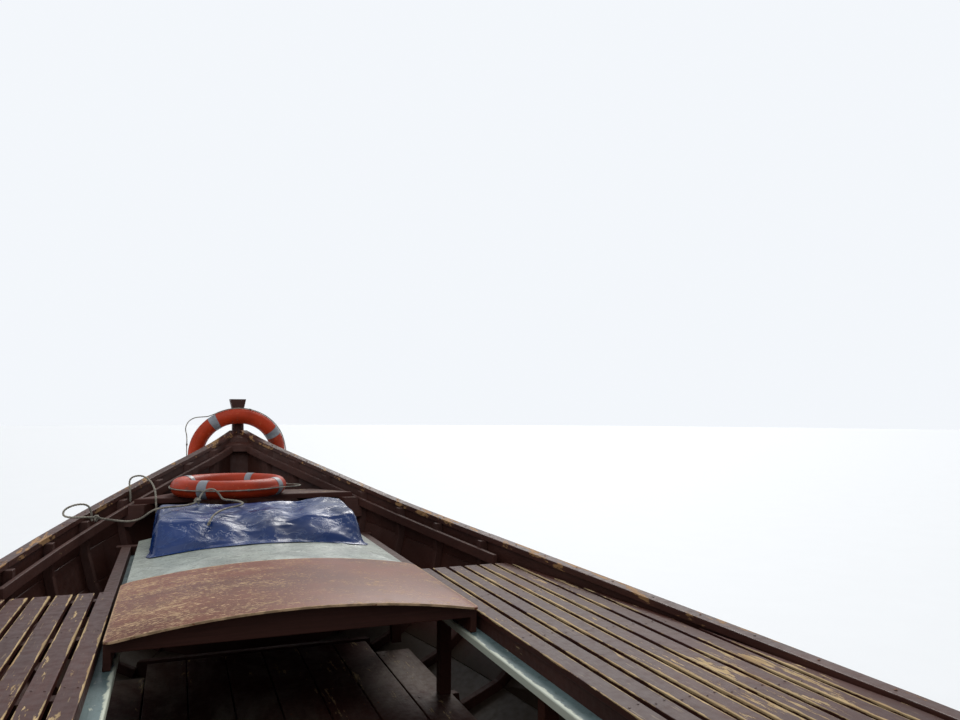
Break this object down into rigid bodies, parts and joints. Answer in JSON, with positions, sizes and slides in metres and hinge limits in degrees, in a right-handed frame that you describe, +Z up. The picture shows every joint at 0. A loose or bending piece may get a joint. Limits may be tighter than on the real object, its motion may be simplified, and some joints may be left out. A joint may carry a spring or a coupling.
{
  "type": "double-ended wooden passenger boat",
  "caption": "Open double-ended wooden boat with slatted side benches, a sliding arched cover, engine box, stern rudder and loose lifebuoys.",
  "frame": {"origin": "on the centreline amidships at the waterline", "axes": "+X to starboard, +Y to the bow, +Z up"},
  "size_m": [2.8318, 9.8337, 1.7375],
  "materials": {
    "hull_paint": "worn dark red-brown paint",
    "keel_paint": "dark paint",
    "bench_paint": "worn brown paint",
    "cover_wood": "worn varnished plywood",
    "ledge_paint": "pale worn paint",
    "sheet_skin": "smooth grey-green sheet",
    "tarp": "blue woven tarpaulin",
    "ring_orange": "faded orange",
    "iron": "rusty",
    "bronze": "dull bronze",
    "shaft_steel": "plain",
    "engine_paint": "oily grey-green",
    "rope": "weathered laid rope",
    "line": "thin pale line"
  },
  "bodies": {
    "boat": {"aft_deck": "bench_paint", "aprons": "hull_paint", "arched_sheet": "sheet_skin", "bench_bearers": "hull_paint", "bench_risers": "hull_paint", "bench_slats_port": "bench_paint", "bench_slats_starboard": "bench_paint", "box_hinges": "iron", "breasthooks": "hull_paint", "cap_rails": "hull_paint", "carlings": "hull_paint", "engine": "engine_paint", "engine_bed": "hull_paint", "engine_box": "bench_paint", "floor_timbers": "hull_paint", "fore_beam": "hull_paint", "fore_thwart": "bench_paint", "grab_line_flat": "line", "grab_line_hung": "line", "gudgeons": "iron", "gunwale_rope": "rope", "heel_iron": "iron", "inwales": "hull_paint", "keel": "keel_paint", "ledge_rails": "ledge_paint", "lifebuoy_flat": "ring_orange", "lifebuoy_hung": "ring_orange", "mooring_eye": "iron", "planking_port": "hull_paint", "planking_starboard": "hull_paint", "rub_rails": "hull_paint", "sheet_hoops": "hull_paint", "side_frames": "hull_paint", "sole": "bench_paint", "stem": "hull_paint", "stern_tube": "bronze", "sternpost": "hull_paint", "tarp_bundle": "tarp", "tarp_rope": "rope", "thole_pins": "hull_paint", "thwart_cleats": "hull_paint"},
    "rudder": {"rudder": "hull_paint", "pintles": "iron", "tiller": "cover_wood"},
    "propeller": {"propeller": "bronze", "propeller_shaft": "shaft_steel"},
    "lid": {"engine_lid": "bench_paint", "lid_straps": "iron"},
    "cover": {"cover_board": "cover_wood", "cover_frame": "hull_paint"}
  },
  "joints": [
    {"name": "rudder_turn", "type": "hinge", "parent": "boat", "child": "rudder", "pos_m": [0, -4.55552, 0.04], "axis": [0, -0.2266, 0.974], "range_deg": [-35, 35]},
    {"name": "propeller_spin", "type": "hinge", "parent": "boat", "child": "propeller", "pos_m": [0, -4.385, -0.235], "axis": [0, 0.9903, 0.1392], "continuous": true},
    {"name": "engine_lid_hinge", "type": "hinge", "parent": "boat", "child": "lid", "pos_m": [0, -2.296, 0.5723], "axis": [-1, 0, 0], "range_deg": [0, 95]},
    {"name": "cover_slide", "type": "slide", "parent": "boat", "child": "cover", "axis": [0, -1, 0], "range_m": [0, 0.9]}
  ]
}
